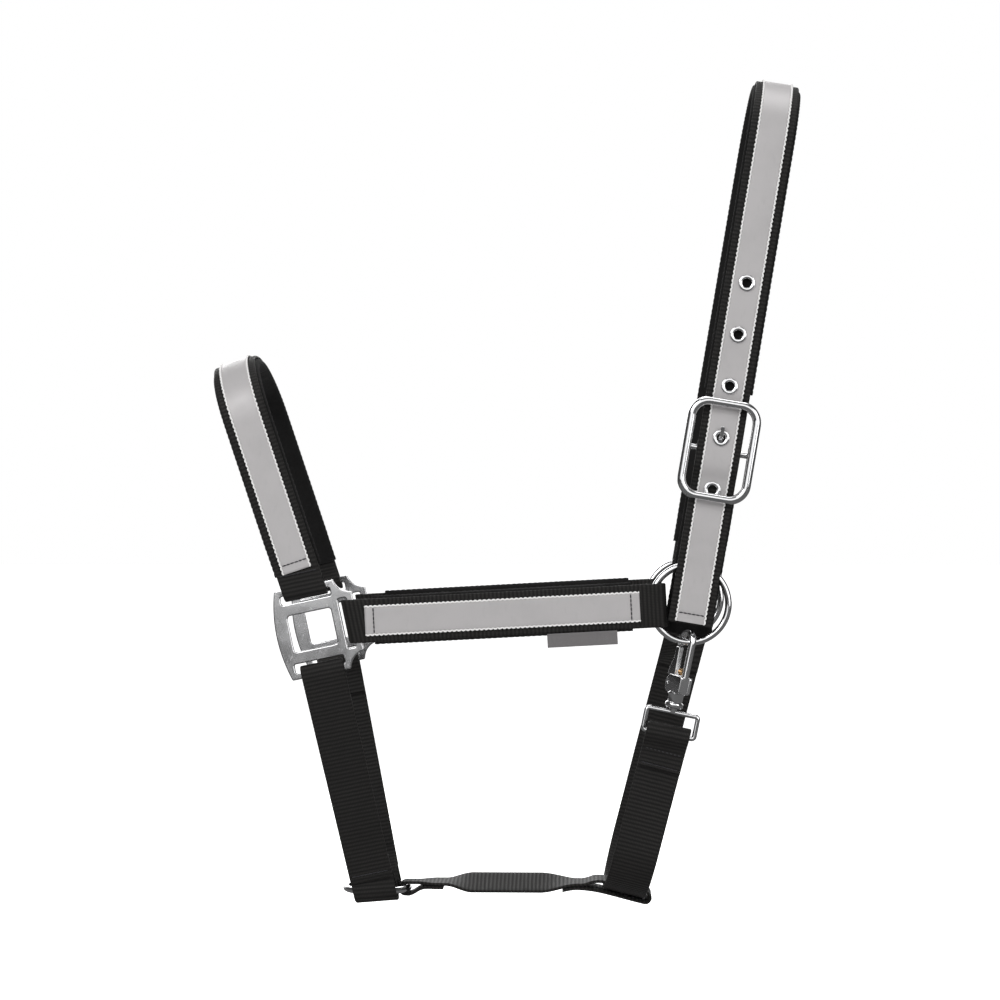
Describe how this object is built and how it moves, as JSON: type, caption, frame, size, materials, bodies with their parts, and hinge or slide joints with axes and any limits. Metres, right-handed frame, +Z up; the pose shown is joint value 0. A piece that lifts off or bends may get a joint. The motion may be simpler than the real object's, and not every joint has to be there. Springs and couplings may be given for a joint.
{
  "type": "headcollar",
  "caption": "Padded nylon webbing headcollar for a horse, with grey reflective tape, cast squares, rings, crown buckle and throat snap hook.",
  "frame": {"origin": "middle of the inner face of the crown's padded top, where it seats on the poll", "axes": "+X from the nose towards the poll, +Y from the near side to the far side, +Z up as worn on a level head held slightly down"},
  "size_m": [0.3427, 0.1097, 0.48],
  "materials": {
    "webbing": "ribbed woven black nylon webbing",
    "padding": "soft black padded backing",
    "reflective_tape": "light grey reflective tape with off-white woven edges",
    "chrome": "polished nickel plate",
    "spring_brass": "bright brass spring wire",
    "label_ribbon": "grey satin woven ribbon"
  },
  "bodies": {
    "straps": {"noseband_webbing": "webbing", "near_cheek_webbing": "webbing", "far_cheek_webbing": "webbing", "near_chin_strap": "webbing", "far_chin_strap": "webbing", "near_chin_loop": "webbing", "far_chin_loop": "webbing", "jaw_connector": "webbing", "throat_strap": "webbing", "crown_strap": "webbing", "near_chape": "webbing", "noseband_pad": "padding", "near_cheek_pad": "padding", "far_cheek_pad": "padding", "crown_pad": "padding", "near_chape_pad": "padding", "noseband_tape": "reflective_tape", "near_cheek_tape": "reflective_tape", "far_cheek_tape": "reflective_tape", "crown_tape": "reflective_tape", "eyelet_1": "chrome", "eyelet_2": "chrome", "eyelet_3": "chrome", "eyelet_4": "chrome", "eyelet_5": "chrome", "near_square": "chrome", "far_square": "chrome", "label_tab": "label_ribbon"},
    "near_ring": {"near_ring": "chrome"},
    "far_ring": {"far_ring": "chrome"},
    "chin_ring": {"chin_ring": "chrome"},
    "buckle_frame": {"buckle_frame": "chrome"},
    "buckle_tongue": {"buckle_tongue": "chrome"},
    "snap_eye": {"snap_eye": "chrome"},
    "snap_body": {"snap_body": "chrome", "snap_gate_pin": "chrome", "snap_spring": "spring_brass"},
    "snap_gate": {"snap_gate": "chrome"}
  },
  "joints": [
    {"name": "near_ring_spin", "type": "hinge", "parent": "straps", "child": "near_ring", "pos_m": [-0.052, -0.046, -0.295], "axis": [0, 1, 0], "continuous": true},
    {"name": "far_ring_spin", "type": "hinge", "parent": "straps", "child": "far_ring", "pos_m": [-0.052, 0.046, -0.295], "axis": [0, 1, 0], "continuous": true},
    {"name": "chin_ring_spin", "type": "hinge", "parent": "straps", "child": "chin_ring", "pos_m": [-0.2338, 0, -0.4639], "axis": [0, 0, 1], "continuous": true},
    {"name": "buckle_frame_rock", "type": "hinge", "parent": "straps", "child": "buckle_frame", "pos_m": [-0.03571, -0.0472, -0.20796], "axis": [-0.9863, 0, 0.165], "range_deg": [-1.5, 1.5]},
    {"name": "buckle_tongue_hinge", "type": "hinge", "parent": "straps", "child": "buckle_tongue", "pos_m": [-0.03571, -0.0472, -0.20796], "axis": [-0.9863, 0, 0.165], "range_deg": [-1.2, 1.2]},
    {"name": "snap_eye_hinge", "type": "hinge", "parent": "straps", "child": "snap_eye", "pos_m": [-0.06425, -0.046, -0.36933], "axis": [0.9799, 0, -0.1994], "range_deg": [-0.8, 0.8]},
    {"name": "snap_swivel", "type": "hinge", "parent": "snap_eye", "child": "snap_body", "pos_m": [-0.0536, -0.046, -0.317], "axis": [0.1994, 0, 0.9799], "range_deg": [-45, 2]},
    {"name": "snap_gate_hinge", "type": "hinge", "parent": "snap_body", "child": "snap_gate", "pos_m": [-0.06078, -0.04141, -0.34003], "axis": [0.8652, 0.4695, -0.176], "range_deg": [0, 18], "stiffness_Nm_per_rad": 0.02, "springref_deg": -5.73}
  ]
}
